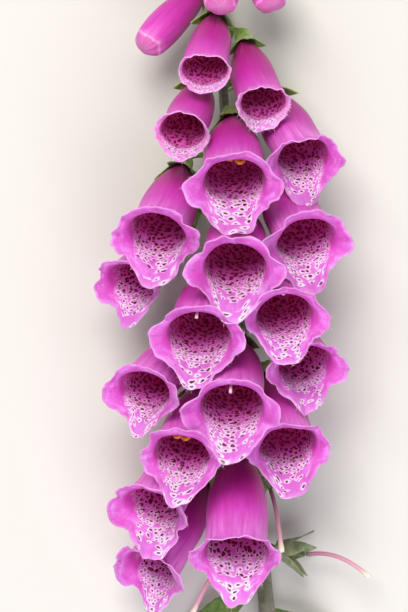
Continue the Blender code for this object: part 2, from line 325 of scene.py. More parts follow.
def unit_tube(name, columns, rows, closed=False):
    """A tube of radius 1 and height 1, grown ring by ring, with a map that runs round and along it."""
    deselect()
    bpy.ops.mesh.primitive_circle_add(vertices=columns, radius=1, fill_type="NGON" if closed else "NOTHING")
    tube = bpy.context.object
    tube.name = name
    bpy.ops.object.mode_set(mode="EDIT")
    bpy.ops.mesh.select_all(action="SELECT")
    for _ in range(rows):
        bpy.ops.mesh.extrude_region_move(TRANSFORM_OT_translate={"value": (0, 0, 1 / rows)})
    bpy.ops.mesh.select_all(action="SELECT")
    bpy.ops.mesh.normals_make_consistent(inside=False)
    bpy.ops.object.mode_set(mode="OBJECT")
    mesh = tube.data
    wall = max(mesh.polygons, key=lambda face: math.hypot(face.center.x, face.center.y))
    if wall.normal.dot(Vector((wall.center.x, wall.center.y, 0))) < 0:
        mesh.flip_normals()
    layer = mesh.uv_layers.new(name="petal")
    for face in mesh.polygons:
        side = math.atan2(face.center.x, face.center.y)
        for corner in face.loop_indices:
            place = mesh.vertices[mesh.loops[corner].vertex_index].co
            turn = math.atan2(place.x, place.y)
            turn += math.tau * round((side - turn) / math.tau)
            layer.data[corner].uv = (0.5 + turn / math.tau, place.z)
    return tube


TUBES = {}


def tube_through(name, points, radii, sides=8):
    """A round tube with closed ends through a row of points, shaped from a unit tube with as many rings."""
    key = sides, len(points) - 1
    if key not in TUBES:
        TUBES[key] = unit_tube(f"tube_{sides}_{len(points)}", *key, closed=True)
    frames = []
    across = Vector((0.3, 0.1, 1))
    for index, point in enumerate(points):
        along = (points[min(index + 1, len(points) - 1)] - points[max(index - 1, 0)]).normalized()
        if not index and abs(along.z) > 0.9:
            across = Vector((1, 0, 0))
        across = (across - along * across.dot(along)).normalized()
        frames.append((point, across.cross(along) * radii[index], across * radii[index]))
    piece = copy_of(TUBES[key], name)
    for vert in piece.data.vertices:
        point, side, up = frames[round(vert.co.z * key[1])]
        vert.co = point + side * vert.co.x + up * vert.co.y
    piece.data.shade_smooth()
    return piece


def join(pieces, name):
    deselect()
    for piece in pieces:
        piece.select_set(True)
    bpy.context.view_layer.objects.active = pieces[0]
    bpy.ops.object.join()
    pieces[0].name = pieces[0].data.name = name
    return pieces[0]


# ---------------------------------------------------------------- the bells


def bump(angle, centre, half):
    """A rounded rise round an angle, from 0 at its edges to 1 in the middle."""
    off = abs(angle - centre) / half
    return math.cos(off * math.pi / 2) if off < 1 else 0.0


def lobe_reach(angle, bloom, chance):
    """How far the mouth's edge runs past the tube at an angle from the lower lip."""
    away, side = abs(angle), 0 if angle < 0 else 1
    read_at = away * (1 + (bloom.narrow - 1) * bump(away, 0, LIP_HALF))
    reach = bloom.lip * spline(YOUNG_REACH if chance["young"] else LOBE_REACH, read_at)
    reach *= 1 + (chance["side"][side] - 1) * bump(away, SIDE_MIDDLE, 50)
    reach *= 1 + (bloom.lower - 1) * bump(away, 0, LIP_HALF)
    turn = Vector((math.cos(math.radians(angle)), math.sin(math.radians(angle)), chance["phase"][0]))
    ragged = 0.9 * noise.noise(turn * 3.1) + 1.3 * noise.noise(turn * 8.0) + 1.2 * noise.noise(turn * 14.0)
    return reach + ragged * MM * bloom.open


def mouth_path(angle, bloom, chance):
    """The way out along a lobe: (outwards, forwards) at each row past the tube's end."""
    side = 0 if angle < 0 else 1
    flare = spline(FLARE + [(180, bloom.roll)], abs(angle)) * (0.1 + 0.9 * bloom.open)
    flare += chance["flare"][side] * bump(abs(angle), SIDE_MIDDLE, 60)
    reach = lobe_reach(angle, bloom, chance)
    turn = Vector((math.cos(math.radians(angle)), math.sin(math.radians(angle)), chance["phase"][1]))
    wave = noise.noise(turn * 2.4) + 0.8 * noise.noise(turn * 6.0) + 0.3 * noise.noise(turn * 11.0)
    outward = forward = 0.0
    path = []
    for row in range(1, LOBE_ROWS + 1):
        share = (row - 0.5) / LOBE_ROWS
        curl = LIP_CURL * share**2 * bump(abs(angle), 0, LIP_HALF) * chance["curl"]
        tilt = math.radians(flare * (1 - (1 - share)**2.2) + curl)
        outward += math.sin(tilt) * reach / LOBE_ROWS
        forward += math.cos(tilt) * reach / LOBE_ROWS
        ruffle = 1.8 * MM * (row / LOBE_ROWS)**1.8 * wave * bloom.open
        path.append((outward + ruffle * math.cos(tilt), forward - ruffle * math.sin(tilt)))
    return path


def shape_bell(tube, bloom, chance):
    """Shapes a unit tube into the bell: a narrow base, a swelling tube and a flaring five-lobed mouth."""
    paths = {}
    for vert in tube.data.vertices:
        turn = math.atan2(vert.co.x, vert.co.y)
        column, row = round(turn / math.tau * COLUMNS) % COLUMNS, round(vert.co.z * ROWS)
        share = min(1.0, row / TUBE_ROWS)
        rib = 1 + 0.010 * math.cos(5 * turn) * share
        wide = bloom.girth / 2 * spline(TUBE_GIRTH, share) * rib
        tall = wide * (1 + (TUBE_FLATNESS - 1) * min(1.0, share / 0.35))
        along = bloom.length * share
        belly = BELLY * math.sin(math.pi * share)
        if row > TUBE_ROWS:
            if column not in paths:
                paths[column] = mouth_path(math.degrees(turn), bloom, chance)
            outward, forward = paths[column][row - TUBE_ROWS - 1]
            wide, tall, along = wide + outward, tall + outward, along + forward
        side, low = wide * math.sin(turn), tall * math.cos(turn) + belly
        place = bloom.place(side, low, along)
        dent = noise.noise_vector(place * 90 + Vector((chance["phase"][0] * 9, 0, 0)))
        vert.co = place + dent * 0.9 * MM * share
    for corner in tube.data.uv_layers["petal"].data:
        along = corner.uv[1]
        if chance["young"]:
            along += (YOUNG_MOUTH - MOUTH) * min(along / MOUTH, (1 - along) / (1 - MOUTH))
        corner.uv = (corner.uv[0] + chance["map"], along)


def lip_roots(piece, bloom):
    """The lower half of a bell's mouth, as (place, way out of the inner face, way off the edge)."""
    roots = []
    for vert in piece.data.vertices:
        rel = vert.co - bloom.base
        low, along = rel.dot(bloom.under), rel.dot(bloom.axis)
        if along > bloom.length + 1.5 * MM and low > -4 * MM:
            edge = (rel - bloom.axis * along).normalized() + bloom.axis
            roots.append((vert.co.copy(), -vert.normal, edge.normalized()))
    return roots


def lip_hairs(rim, draw, hairs):
    """Stands fine hairs on the lower lip and its edge, as (root, direction, length)."""
    for _ in range(LIP_HAIRS):
        place, normal, edge = rim[int(draw.random() * len(rim))]
        lean = Vector((draw.uniform(-1, 1), draw.uniform(-1, 1), draw.uniform(-1, 1))) * 0.5
        hairs.append((place, (edge + normal * draw.uniform(0.2, 1.2) + lean).normalized(),
                      draw.uniform(0.7, 1.8) * MM))


def make_bells(materials):
    """All the open bells, each shaped from one template, and the roots for their lip hairs."""
    template = unit_tube("bell", COLUMNS, ROWS)
    blooms, hairs = [], []
    for number in range(1, OPEN_BELLS + 1):
        bloom = read_bell(number)
        draw = random.Random(300 + number)
        bloom.open = min(1.0, bloom.lip / OPEN_LIP)
        bloom.roll = UPPER_ROLL.get(number, UPPER_ROLL_USUAL)
        bloom.lower = LOWER_LIP.get(number, 1.0)
        bloom.narrow = LIP_NARROWING.get(number, 1.0)
        chance = {
            "side": [SIDE_SPREAD.get(number, 1.0) * draw.uniform(0.92, 1.1) for _ in range(2)],
            "flare": [draw.uniform(-9, 6), draw.uniform(-9, 6)],
            "curl": draw.uniform(0.4, 1.6),
            "phase": [draw.uniform(0, math.tau) for _ in range(3)],
            "map": number * 3,
            "young": number in YOUNG,
        }
        piece = copy_of(template, f"bell_{number:02d}")
        shape_bell(piece, bloom, chance)
        if bloom.open > 0.5:
            lip_hairs(lip_roots(piece, bloom), draw, hairs)
        piece.data.materials.append(materials["petal_outside"])
        piece.data.materials.append(materials["young_inside" if number in YOUNG else "petal_inside"])
        finish(piece, PETAL, 1, -1.0, 1)
        dress(piece, "petal", (), f"corolla_{number:02d}")
        blooms.append(bloom)
    bpy.data.objects.remove(template)
    return blooms, hairs


# ---------------------------------------------------------------- sepals and stalks


def sepal_template():
    """One flat sepal, from (-1, 0) to (1, 1), with a map across and along it."""
    deselect()
    bpy.ops.mesh.primitive_grid_add(x_subdivisions=SEPAL_ACROSS, y_subdivisions=SEPAL_ALONG, size=2)
    sepal = bpy.context.object
    sepal.name = "sepal"
    bpy.ops.object.mode_set(mode="EDIT")
    bpy.ops.mesh.select_all(action="SELECT")
    bpy.ops.transform.translate(value=(0, 1, 0))
    bpy.ops.transform.resize(value=(1, 0.5, 1), center_override=(0, 0, 0))
    bpy.ops.object.mode_set(mode="OBJECT")
    layer = sepal.data.uv_layers[0]
    layer.name = "petal"
    for corner, loop in zip(layer.data, sepal.data.loops):
        place = sepal.data.vertices[loop.vertex_index].co
        corner.uv = (place.x * 0.5 + 0.5, place.y)
    return sepal


def shape_sepal(sepal, bloom, turn, size, girth_at, spread, draw):
    """Wraps a flat sepal round the flower's base, pointing along it, with its tip turned a little out."""
    length, half = SEPAL_LENGTH * size * draw.uniform(0.92, 1.08), SEPAL_HALF_WIDTH * size
    lift = draw.uniform(0.2, 0.9) * MM * size
    for vert in sepal.data.vertices:
        across, along = vert.co.x, vert.co.y
        out = length * along - 2.0 * MM * size
        radius = girth_at(out) + 0.5 * MM + lift * along + spread * along**2 * size
        width = half * spline(SEPAL_WIDTH, along) * across
        keel = 0.5 * MM * size * (1 - abs(across)) * (1 - along)
        angle = turn + width / max(radius, 2.6 * MM * size)
        radius += keel + 0.25 * MM * math.sin(across * 3 + along * 9 + turn)
        vert.co = bloom.place(radius * math.sin(angle), radius * math.cos(angle), out)


def stalk_line(bloom, size):
    """The flower's stalk, from inside the stem to just inside the calyx."""
    centre, radius = stem_near(bloom.stalk[0])
    away = (bloom.stalk[0] - centre).normalized()
    start = centre + away * radius * 0.6
    end = bloom.base - bloom.axis * 1.2 * MM * size
    reach = (end - start).length
    bend = start + away * reach * 0.4 + Vector((0, reach * 0.2, 0))
    return bezier([start, bend, end - bloom.axis * reach * 0.35, end], [i / 9 for i in range(10)])


def bract(name, bloom, size, template, draw):
    """The small leaf that stands under each stalk, where it leaves the stem."""
    centre, radius = stem_near(bloom.stalk[0])
    away = (bloom.stalk[0] - centre).normalized()
    root = centre + away * radius * 0.8 + Vector((0, -2.2 * MM, 0))
    leaf = copy_of(template, name)
    way = (away * 0.75 + Vector((0, 0.25, 0)) + Vector((0, 0, draw.uniform(-0.1, 0.2)))).normalized()
    side = way.cross(Vector((0, 1, 0))).normalized()
    face = side.cross(way)
    length, half = 7.5 * MM * size, 1.9 * MM * size
    for vert in leaf.data.vertices:
        across, along = vert.co.x, vert.co.y
        width = half * spline(SEPAL_WIDTH, along) * across
        sag = face * (0.22 * length * along**2 - 0.25 * MM * abs(across))
        vert.co = root + way * length * along + side * width + sag
    return leaf


def make_calyx(name, slot, bloom, girth_at, size, spread, draw, material, sepal, *nodes):
    """A flower's stalk, cup, five sepals and bract, as one piece."""
    line = stalk_line(bloom, size)
    radii = [STALK_RADIUS * size * (1.15 - 0.25 * math.sin(math.pi * i / 9)) for i in range(10)]
    parts = [tube_through(name + "_stalk", line, radii, 10)]
    cup = [bloom.base + bloom.axis * along * MM * size for along in (-2.6, -2.0, -1.0, 0.4, 2.2)]
    parts.append(tube_through(name + "_cup", cup, [r * MM * size for r in (0.9, 1.9, 2.8, 3.0, 2.5)], 12))
    start = draw.uniform(0, math.tau)
    for index in range(5):
        leaf = copy_of(sepal, f"{name}_sepal_{index}")
        turn = start + math.tau * index / 5 + draw.uniform(-0.1, 0.1)
        shape_sepal(leaf, bloom, turn, size, girth_at, spread, draw)
        finish(leaf, SEPAL_THICK * size, 1, 1.0)
        parts.append(leaf)
    leaf = bract(name + "_bract", bloom, size, sepal, draw)
    finish(leaf, SEPAL_THICK * size, 1, 0.0)
    parts.append(leaf)
    dress(join(parts, name), slot, (material,), *nodes)


# ---------------------------------------------------------------- stamens and pistils


def make_heart(number, bloom, materials, draw):
    """What a bell holds along its roof: four stamens with paired anthers, and the style with its stigma."""
    size = bloom.girth / (21 * MM)

    def roof(share, gap):
        """How far above the axis the bell's roof is, less a gap."""
        belly = BELLY * math.sin(math.pi * share)
        return belly - (bloom.girth / 2 * spline(TUBE_GIRTH, share) * TUBE_FLATNESS - gap)

    stamens, anthers = [], []
    front = FRONT_ANTHERS.get(number, FRONT_ANTHERS_USUAL)
    for side, share in ((-1, 0.60), (1, 0.62), (-1, front), (1, front - 0.05)):
        share += draw.uniform(-0.02, 0.02)
        spread = (3.4 if share < 0.75 else 1.7) * MM * size * side
        line = []
        for step in range(9):
            at = share * step / 8
            line.append(bloom.place(spread * min(1.0, at * 2.2), roof(at, 2.8 * MM) * min(1.0, at * 3),
                                    bloom.length * at + 1 * MM))
        stamens.append(tube_through("filament", line, [0.42 * MM] * 9, 7))
        for half in (-1, 1):
            deselect()
            bpy.ops.mesh.primitive_uv_sphere_add(segments=14, ring_count=9, radius=1)
            lobe = bpy.context.object
            tilt = Matrix.Rotation(half * 0.5, 3, "Z")
            for vert in lobe.data.vertices:
                local = tilt @ Vector((vert.co.x * 0.85 + half * 0.75, vert.co.y * 1.7 - abs(vert.co.x) * 0.2,
                                       vert.co.z * 0.8))
                vert.co = bloom.place(spread + local.x * MM * size,
                                      roof(share, 2.8 * MM) + (local.z + 0.5) * MM * size,
                                      bloom.length * share + 1 * MM + local.y * MM * size)
            anthers.append(lobe)
    end = STYLE_END.get(number, STYLE_END_USUAL) + draw.uniform(-0.03, 0.02)
    line = [bloom.place(0.3 * MM, roof(end * step / 9, 2.2 * MM) * min(1.0, step / 3),
                        bloom.length * end * step / 9 + 1 * MM) for step in range(10)]
    line.append(line[-1] + bloom.axis * 1.4 * MM + bloom.under * 0.5 * MM)
    style = tube_through("style", line, [0.9 * MM] * 2 + [0.42 * MM] * 7 + [0.5 * MM, 0.62 * MM], 8)
    piece = join(stamens + [style], f"stamens_{number:02d}")
    piece.data.materials.append(materials["filament"])
    for lobe in anthers:
        lobe.data.materials.append(materials["anther"])
        lobe.data.flip_normals()
        lobe.data.shade_smooth()
    piece = join([piece] + anthers, f"stamens_{number:02d}")
    dress(piece, "petal", ())


# ---------------------------------------------------------------- buds


def shape_bud(tube, bloom, draw):
    """Shapes a unit tube into a closed bud: its blunt end is flattened where a lobe folds over the others."""
    turn_at = draw.uniform(0, math.tau)
    for vert in tube.data.vertices:
        turn = math.atan2(vert.co.x, vert.co.y)
        share = vert.co.z
        ring = math.hypot(vert.co.x, vert.co.y)
        wide = bloom.girth / 2 * spline(BUD_GIRTH, share) * 0.99
        fold = max(0.0, (share - 0.72) / 0.28)
        pinch = 1 - 0.16 * fold * (0.5 + 0.5 * math.cos(5 * (turn - turn_at))) ** 3
        lip = 1 + 0.07 * bump(share, 0.90, 0.05) * (0.6 + 0.4 * math.cos(turn))
        end = 1 - fold**2 * 0.25 * abs(math.cos(turn))
        dent = noise.noise(Vector((math.sin(turn), math.cos(turn), share * 3)) * 1.3 + bloom.base * 50)
        radius = wide * pinch * lip * (1 + 0.025 * dent) * ring
        vert.co = bloom.place(radius * math.sin(turn), radius * math.cos(turn) * 0.92 * end,
                              bloom.length * share * 0.995)


def make_buds(materials, sepal):
    template = unit_tube("bud", 32, 22, closed=True)
    for number in range(1, COLOURED_BUDS + 1):
        bloom = read_bud(number)
        draw = random.Random(500 + number)
        piece = copy_of(template, f"closed_bud_{number}")
        shape_bud(piece, bloom, draw)
        finish(piece, 0, 1)
        dress(piece, "bud_petal", (materials["bud"],), f"bud_{number}")
        girth_at = girth_along(bloom.girth, bloom.length, BUD_GIRTH)
        make_calyx(f"bud_sepals_{number}", "sepal", bloom, girth_at, bloom.girth / (14 * MM), 1.0 * MM, draw,
                   materials["sepal"], sepal, f"bud_calyx_{number}")
    bpy.data.objects.remove(template)


def make_green_bud(name, bloom, length, girth, draw, materials, sepal, *nodes):
    """A young bud: a pale tip of petal showing between five closed sepals, on its stalk."""
    shares = [i / 11 for i in range(12)]
    core = tube_through(name + "_core", [bloom.base + bloom.axis * length * s for s in shares],
                        [girth / 2 * 0.86 * spline(GREEN_GIRTH, s) for s in shares], 14)
    line = stalk_line(bloom, girth / (12 * MM))
    stalk = tube_through(name + "_stalk", line, [0.9 * MM] * 10, 8)
    parts = [core, stalk]
    girth_at = girth_along(girth * 0.84, length, GREEN_GIRTH)
    for index in range(5):
        leaf = copy_of(sepal, f"{name}_sepal_{index}")
        turn = math.tau * index / 5 + draw.uniform(-0.15, 0.15)
        shape_sepal(leaf, bloom, turn, length / (12.5 * MM), girth_at, 0.0, draw)
        finish(leaf, 0.4 * MM, 1, 1.0)
        parts.append(leaf)
    dress(join(parts, name), "green_bud", (materials["green_bud"],), *nodes)


def make_green_buds(materials, sepal):
    for number in range(1, GREEN_BUDS + 1):
        node = f"green_bud_{number}"
        rings = rings_of(node, SMALL_SIDES)
        low, tip = middle(rings[4]), middle(rings[8])
        axis = (tip - low).normalized()
        bloom = Bloom(low - axis * 0.8 * MM, axis)
        bloom.stalk = [middle(ring) for ring in rings[:4]]
        girth = 2 * max((p - middle(rings[5])).length for p in rings[5])
        make_green_bud(f"young_bud_{number}", bloom, (tip - bloom.base).length, girth,
                       random.Random(700 + number), materials, sepal, node)


def make_tip(materials, sepal):
    """The crowd of tiny green buds at the top of the spike, set round the stem's end in a spiral."""
    rings = rings_of("tip_buds", SMALL_SIDES)
    low = middle(rings[0])
    line = middle(rings[-1]) - low
    widest = max((p - middle(rings[2])).length for p in rings[2])
    root = STEM_LINE[-1] - Vector((0, 1 * MM, 0))
    parts = [tube_through("tip_stem", [root, low + line * 0.4, low + line * 0.9],
                          [1.3 * MM, 1.2 * MM, 0.6 * MM], 8)]
    draw = random.Random(900)
    for index in range(TIP_BUDS):
        share = index / (TIP_BUDS - 1)
        turn = index * GOLDEN_TURN
        at = low + line * (0.02 + 0.74 * share)
        radial = Vector((math.cos(turn), 0, math.sin(turn)))
        reach = widest * (1.0 - 0.62 * share)
        length = (5.6 - 2.9 * share) * MM
        lean = (radial * (1.05 - 0.75 * share) + line.normalized() * (0.65 + 0.7 * share)).normalized()
        base = at + radial * max(0.4 * MM, reach - length * 0.72)
        spot = Bloom(base, lean)
        steps = [i / 6 for i in range(7)]
        core = tube_through("tip_core", [base + lean * length * s for s in steps],
                            [length * 0.30 * spline(TIP_GIRTH, s) for s in steps], 9)
        parts.append(core)
        girth_at = girth_along(length * 0.58, length, TIP_GIRTH)
        for side in range(3):
            leaf = copy_of(sepal, "tip_sepal")
            shape_sepal(leaf, spot, math.tau * side / 3 + turn, length / (12.0 * MM), girth_at, 0.5 * MM,
                        draw)
            finish(leaf, 0.3 * MM, 0, 0.0)
            parts.append(leaf)
    dress(join(parts, "tip_of_young_buds"), "green_bud", (materials["green_bud"],), "tip_buds")


# ---------------------------------------------------------------- spent flowers, stem and leaves


def round_pod(out):
    """How far from the pod's middle line its sepals stand, at a distance along it."""
    return 2.6 * MM + max(0.0, out) * 0.22


def make_spent(materials, sepal):
    """Flowers that have dropped their bell: open sepals round a downy seed pod, and the long style."""
    for number in range(1, SPENT_FLOWERS + 1):
        node = f"spent_flower_{number}"
        rings = [middle(ring) for ring in rings_of(node, SMALL_SIDES)]
        pod, ends = rings[4:9], rings[8:12]
        axis = (pod[4] - pod[0]).normalized()
        bloom = Bloom(pod[0] + axis * 1.0 * MM, axis)
        bloom.stalk = rings[:4]
        draw = random.Random(800 + number)
        shares = [i / 12 for i in range(13)]
        pod_line = [pod[0].lerp(pod[4], s) for s in shares]
        pod_radii = [3.4 * MM * spline(POD_GIRTH, s) for s in shares]
        pod_piece = tube_through(f"seed_pod_{number}", pod_line, pod_radii, 16)
        pod_piece.data.materials.append(materials["pod"])
        arch = Vector((0, 4.5 * MM, 1 * MM))
        knees = [ends[0], ends[1] + (ends[1] - ends[0]) * 0.2 + arch, ends[2] + arch * 0.6, ends[3]]
        style_line = bezier(knees, [i / 13 for i in range(14)])
        radii = [0.95 * MM] + [0.82 * MM] * 10 + [0.84 * MM, 1.1 * MM, 1.25 * MM]
        style = tube_through(f"style_{number}", style_line, radii, 10)
        style.data.materials.append(materials["style"])
        make_calyx(f"spent_sepals_{number}", "spent", bloom, round_pod, 0.92, 3.4 * MM, draw,
                   materials["spent_sepal"], sepal, node)
        dress(pod_piece, "spent", ())
        finish(style, 0, 1)
        dress(style, "spent", ())


def make_stem(materials):
    """The stem: a downy stalk with five shallow ribs that wind slowly round it."""
    low, high = STEM_LINE[0].y, STEM_LINE[-1].y
    heights = [low + (high - low) * index / (STEM_RINGS - 1) for index in range(STEM_RINGS)]
    places = [stem_near(Vector((0, y, 0))) for y in heights]
    line, radii = zip(*places)
    piece = tube_through("flower_stem", line, radii, 24)
    for vert in piece.data.vertices:
        centre, radius = stem_near(vert.co)
        out = vert.co - centre
        turn = math.atan2(out.x, out.z)
        rib = 0.045 * math.cos(5 * turn + vert.co.y * 12) + 0.04 * noise.noise(vert.co * 180)
        vert.co = centre + out * (1 + rib)
    piece.data.shade_smooth()
    dress(piece, "stem_green", (materials["stem"],), "stem")


def make_leaves(materials):
    """Narrow stem leaves with a sunk midrib, a quilted face and a finely scalloped edge."""
    for number in range(1, LEAVES + 1):
        node = f"leaf_{number}"
        solid = rings_of(node, LEAF_SIDES)
        rings = [middle(ring) for ring in solid]
        wide = max((p - q).length for ring in solid for p in ring for q in ring) / 2
        centre, radius = stem_near(rings[0])
        root = centre + (rings[0] - centre).normalized() * radius * 0.5
        line = [root] + rings
        deselect()
        bpy.ops.mesh.primitive_grid_add(x_subdivisions=14, y_subdivisions=34, size=2)
        leaf = bpy.context.object
        leaf.name = leaf.data.name = f"stem_leaf_{number}"
        lengths = [0.0]
        for a, b in zip(line, line[1:]):
            lengths.append(lengths[-1] + (b - a).length)
        for corner, loop in zip(leaf.data.uv_layers[0].data, leaf.data.loops):
            place = leaf.data.vertices[loop.vertex_index].co
            corner.uv = (place.x * 0.5 + 0.5, place.y * 0.5 + 0.5)
        leaf.data.uv_layers[0].name = "petal"
        way = (line[-1] - line[0]).normalized()
        side = way.cross(Vector((0, 0, 1))).normalized()
        for vert in leaf.data.vertices:
            across, along = vert.co.x, vert.co.y * 0.5 + 0.5
            at = along * lengths[-1]
            x, y, z = (float(np.interp(at, lengths, [p[axis] for p in line])) for axis in range(3))
            scallop = 1 + 0.05 * math.sin(along * 60) * abs(across)**6
            width = wide * spline(LEAF_WIDTH, along) * across * scallop
            quilt = 0.35 * MM * math.sin(along * 42 + abs(across) * 7) * math.sin(abs(across) * 3.1)
            rise = (1.1 * MM * abs(across)**1.5 + quilt) * min(1.0, along * 4)
            vert.co = Vector((x, y, max(z, 0.4 * MM) + rise)) + side * width
        finish(leaf, 0.5 * MM, 1, 0.0)
        dress(leaf, "leaf", (materials["leaf"],), node)


def make_hairs(name, hairs, material, slot, width=0.075 * MM):
    """Fine hairs in one piece: one three-sided spike is made, then doubled until there are enough.

    A real hair is a few hundredths of a millimetre thick, and these are thicker so that they show.
    """
    deselect()
    bpy.ops.mesh.primitive_cone_add(vertices=3, radius1=1, radius2=0, depth=1)
    piece = bpy.context.object
    piece.name = piece.data.name = name
    spike = len(piece.data.vertices)
    bpy.ops.object.mode_set(mode="EDIT")
    bpy.ops.mesh.select_all(action="SELECT")
    bpy.ops.transform.translate(value=(0, 0, 0.5))
    for _ in range(math.ceil(math.log2(len(hairs)))):
        bpy.ops.mesh.select_all(action="SELECT")
        bpy.ops.mesh.duplicate()
    bpy.ops.mesh.select_all(action="DESELECT")
    bpy.ops.object.mode_set(mode="OBJECT")
    for vert in piece.data.vertices:
        number = vert.index // spike
        vert.select = number >= len(hairs)
        root, way, length = hairs[min(number, len(hairs) - 1)]
        side = way.cross(Vector((0.31, 0.87, 0.21))).normalized()
        spot = side * vert.co.x + way.cross(side) * vert.co.y
        vert.co = root + spot * width + way * (length * vert.co.z - 0.1 * MM)
    bpy.ops.object.mode_set(mode="EDIT")
    bpy.ops.mesh.delete(type="VERT")
    bpy.ops.object.mode_set(mode="OBJECT")
    dress(piece, slot, (material,))


def stem_hairs():
    """Down on the stem, shortest near the tip."""
    draw = random.Random(77)
    hairs = []
    ys = [p.y for p in STEM_LINE]
    for _ in range(STEM_HAIRS):
        y = draw.uniform(ys[0], ys[-1])
        centre, radius = stem_near(Vector((0, y, 0)))
        turn = draw.uniform(0, math.tau)
        way = Vector((math.cos(turn), draw.uniform(-0.3, 0.3), math.sin(turn))).normalized()
        if centre.z + way.z * (radius + 1.2 * MM) < 0.2 * MM:
            continue
        hairs.append((centre + Vector((way.x, 0, way.z)) * radius, way, draw.uniform(0.4, 1.1) * MM))
    return hairs


# ---------------------------------------------------------------- materials

# A Mix node's two sockets for colours, and its two for numbers.
UNDER, OVER = 6, 7
FIRST, SECOND = 2, 3

# The petal map stands for a bell about 64 mm round and 60 mm long, so that spots and veins get real sizes.
MAP_ROUND = 64.0
MAP_ALONG = 60.0

# The spots, in millimetres: how far apart they stand, and the radius of their dark heart and pale ring.
THROAT_SPOTS = (1.85, 0.74, 0.98)
LIP_SPOTS = (2.3, 0.64, 1.3)


def begin(name):
    """A new material, with its node tree and its Principled shader."""
    material = bpy.data.materials.new(name)
    material.use_nodes = True
    return material, material.node_tree, material.node_tree.nodes["Principled BSDF"]


def link(tree, source, socket):
    """Links a socket, or a node's main output, to an input."""
    if isinstance(source, bpy.types.Node):
        source = next(out for out in source.outputs if out.enabled)
    tree.links.new(source, socket)


def add(tree, kind, inputs=(), stops=(), **settings):
    """Adds a node with its settings. An input is set to a value, or linked to a node or a node's socket."""
    node = tree.nodes.new("ShaderNode" + kind)
    for name, value in settings.items():
        setattr(node, name, value)
    for name, value in dict(inputs).items():
        if isinstance(value, (bpy.types.Node, bpy.types.NodeSocket)):
            link(tree, value, node.inputs[name])
        else:
            node.inputs[name].default_value = value
    for index, (place, code) in enumerate(stops):
        ramp = node.color_ramp.elements
        while len(ramp) < len(stops):
            ramp.new(0.5)
        ramp[index].position = place
        ramp[index].color = srgb(code)
    return node


def lay(tree, colour, *layers):
    """Lays tones over a colour, the lowest first, each as strongly as its own amount says."""
    for amount, tone in layers:
        tone = srgb(tone) if isinstance(tone, str) else tone
        colour = add(tree, "Mix", {"Factor": amount, UNDER: colour, OVER: tone}, data_type="RGBA")
    return colour


def surface(tree, shader, colour, relief, strength, depth, roughness, sheen, subsurface, scale=1.0 * MM,
            specular=0.35):
    """A plant's surface: its colour, its fine relief, and the values that are the same all over it."""
    raised = add(tree, "Bump", {"Height": relief, "Strength": strength, "Distance": depth})
    link(tree, colour, shader.inputs["Base Color"])
    link(tree, raised, shader.inputs["Normal"])
    for name, value in {
        "Roughness": roughness, "Specular IOR Level": specular, "Sheen Weight": sheen, "Sheen Roughness": 0.4,
        "Subsurface Weight": subsurface, "Subsurface Radius": (1.0, 0.4, 0.7), "Subsurface Scale": scale,
    }.items():
        shader.inputs[name].default_value = value


def petal_places(tree):
    """The petal map's place in millimetres, share along, and way round from the lower lip (0 to 1)."""
    uv = add(tree, "UVMap", uv_map="petal")
    split = add(tree, "SeparateXYZ", {"Vector": uv})
    round_mm = add(tree, "Math", {0: split.outputs["X"], 1: MAP_ROUND}, operation="MULTIPLY")
    along_mm = add(tree, "Math", {0: split.outputs["Y"], 1: MAP_ALONG}, operation="MULTIPLY")
    place = add(tree, "CombineXYZ", {"X": round_mm, "Y": along_mm})
    local = add(tree, "Math", {0: split.outputs["X"]}, operation="FRACT")
    centred = add(tree, "Math", {0: local, 1: 0.5}, operation="SUBTRACT")
    size = add(tree, "Math", {0: centred}, operation="ABSOLUTE")
    away = add(tree, "Math", {0: size, 1: 2.0}, operation="MULTIPLY")
    return place, split.outputs["Y"], away


def streaks(tree, place, fine, coarse):
    """Long faint streaks up the petal, about fine millimetres apart and coarse millimetres long."""
    stretched = add(tree, "Mapping", {"Vector": place, "Scale": (1 / fine, 1 / coarse, 1)})
    return add(tree, "TexNoise", {"Vector": stretched, "Scale": 1.0, "Detail": 3.0, "Roughness": 0.6})


def petal_outside():
    """Fresh foxglove petal, outer face, grown as thin tissue with domed cells.

    It gives the eye a satin magenta, paler to the mouth and underneath, a little light through it, and veins.
    Its darkening towards the base and along the middle of the tube is partly the petal's own deeper colour
    and partly painted shade, where the bells above shade the tubes. Real veins are finer and are drawn 1.5 mm
    apart so that they show.
    """
    material, tree, shader = begin("petal_outer_face_satin")
    place, along, away = petal_places(tree)
    # Darker towards the base and along the middle of the tube: partly the petal's own colour, partly painted
    # shade where the bells above shade the tubes.
    ramp = add(tree, "ValToRGB", {"Fac": along}, stops=[
        (0.0, "#6A0638"), (0.13, "#8E0858"), (0.25, "#A61076"), (0.40, "#BE249E"), (0.52, "#D648C4"),
        (0.66, "#EA82E2"), (1.0, "#E27CE2")])
    under = add(tree, "MapRange", {"Value": away, "From Max": 0.6, "To Min": 0.45, "To Max": 0.0})
    vein = streaks(tree, place, 1.5, 16.0)
    shade = add(tree, "MapRange", {"Value": vein, "From Min": 0.35, "From Max": 0.68, "To Max": 0.6})
    rim = add(tree, "MapRange", {"Value": along, "From Min": 0.96, "From Max": 0.995, "To Max": 0.4})
    colour = lay(tree, ramp, (under, "#E998E4"), (shade, "#B03496"), (rim, "#F6D3F2"))
    surface(tree, shader, colour, vein, 0.5, 0.3 * MM, 0.44, 0.06, 0.5, 1.6 * MM, 0.28)
    return material


